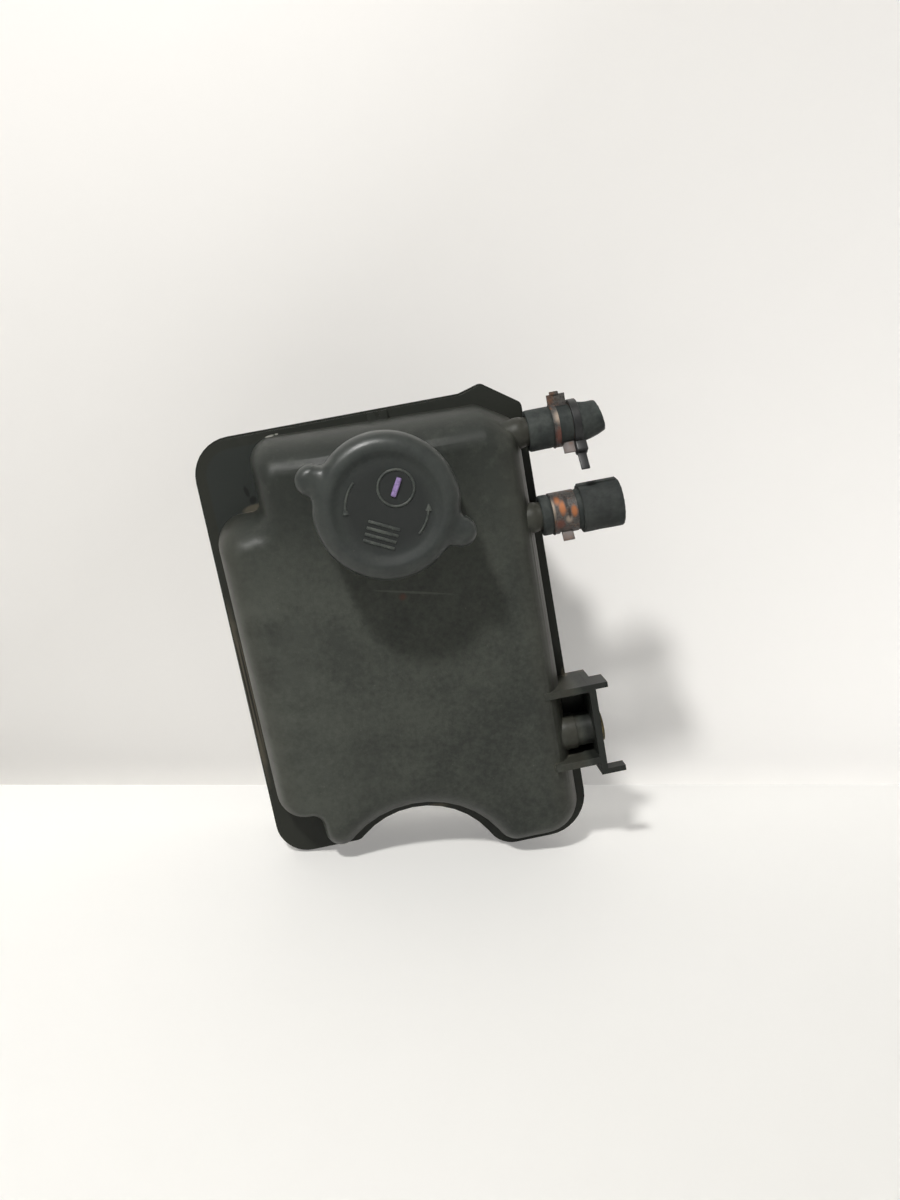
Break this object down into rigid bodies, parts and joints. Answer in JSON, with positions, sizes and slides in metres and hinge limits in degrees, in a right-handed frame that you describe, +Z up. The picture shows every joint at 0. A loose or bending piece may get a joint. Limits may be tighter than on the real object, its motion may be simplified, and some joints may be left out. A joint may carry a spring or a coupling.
{
  "type": "coolant expansion tank",
  "caption": "Flat two-shell coolant tank with a welded flange, screw cap with relief cartridge, hose stubs with spring clamps, an arched foot and a bolted side bracket.",
  "frame": {"origin": "mouth of the bolt insert in the side bracket, where the tank is bolted on", "axes": "+Z up with both feet standing level, -Y towards the side with the cap, +X towards the side with the hoses and the bracket"},
  "size_m": [0.1863, 0.1068, 0.2125],
  "materials": {
    "shell_nylon": "satin moulded, dusty",
    "cap_nylon": "satin moulded",
    "valve_plastic": "moulded",
    "hose_rubber": "matt",
    "seal_rubber": "matt",
    "valve_steel": "satin",
    "clamp_steel": "rusted in places",
    "tie_plastic": "satin",
    "insert_brass": "dull"
  },
  "bodies": {
    "tank": {"front_shell": "shell_nylon", "rear_shell": "shell_nylon", "lip_seal": "seal_rubber", "upper_hose": "hose_rubber", "lower_hose": "hose_rubber", "lower_hose_sleeve": "hose_rubber", "upper_clamp": "clamp_steel", "lower_clamp": "clamp_steel", "cable_tie": "tie_plastic", "bolt_insert": "insert_brass"},
    "cartridge": {"valve_housing": "valve_plastic", "housing_ring": "seal_rubber", "spring_retainer": "valve_plastic", "relief_seal": "seal_rubber", "relief_spring": "valve_steel"},
    "cap": {"cap_shell": "cap_nylon"},
    "relief": {"relief_plunger": "valve_steel", "vacuum_spring": "valve_steel"},
    "vacuum": {"vacuum_valve": "valve_steel", "vacuum_clip": "valve_steel"}
  },
  "joints": [
    {"name": "cap_lift", "type": "slide", "parent": "tank", "child": "cartridge", "axis": [0, -1, 0], "range_m": [0, 0.009]},
    {"name": "cap_turn", "type": "hinge", "parent": "cartridge", "child": "cap", "pos_m": [-0.09668, -0.038, 0.10443], "axis": [0, -1, 0], "range_deg": [0, 540]},
    {"name": "relief_slide", "type": "slide", "parent": "cartridge", "child": "relief", "axis": [0, -1, 0], "range_m": [0, 0.0025], "stiffness_N_per_m": 1500, "deforming": ["relief_spring"]},
    {"name": "vacuum_slide", "type": "slide", "parent": "relief", "child": "vacuum", "axis": [0, 1, 0], "range_m": [0, 0.0012], "stiffness_N_per_m": 200, "deforming": ["vacuum_spring"]}
  ],
  "couplings": [
    {"joint": "cap_turn", "follows": "cap_lift", "rad_per_m": 1047}
  ]
}
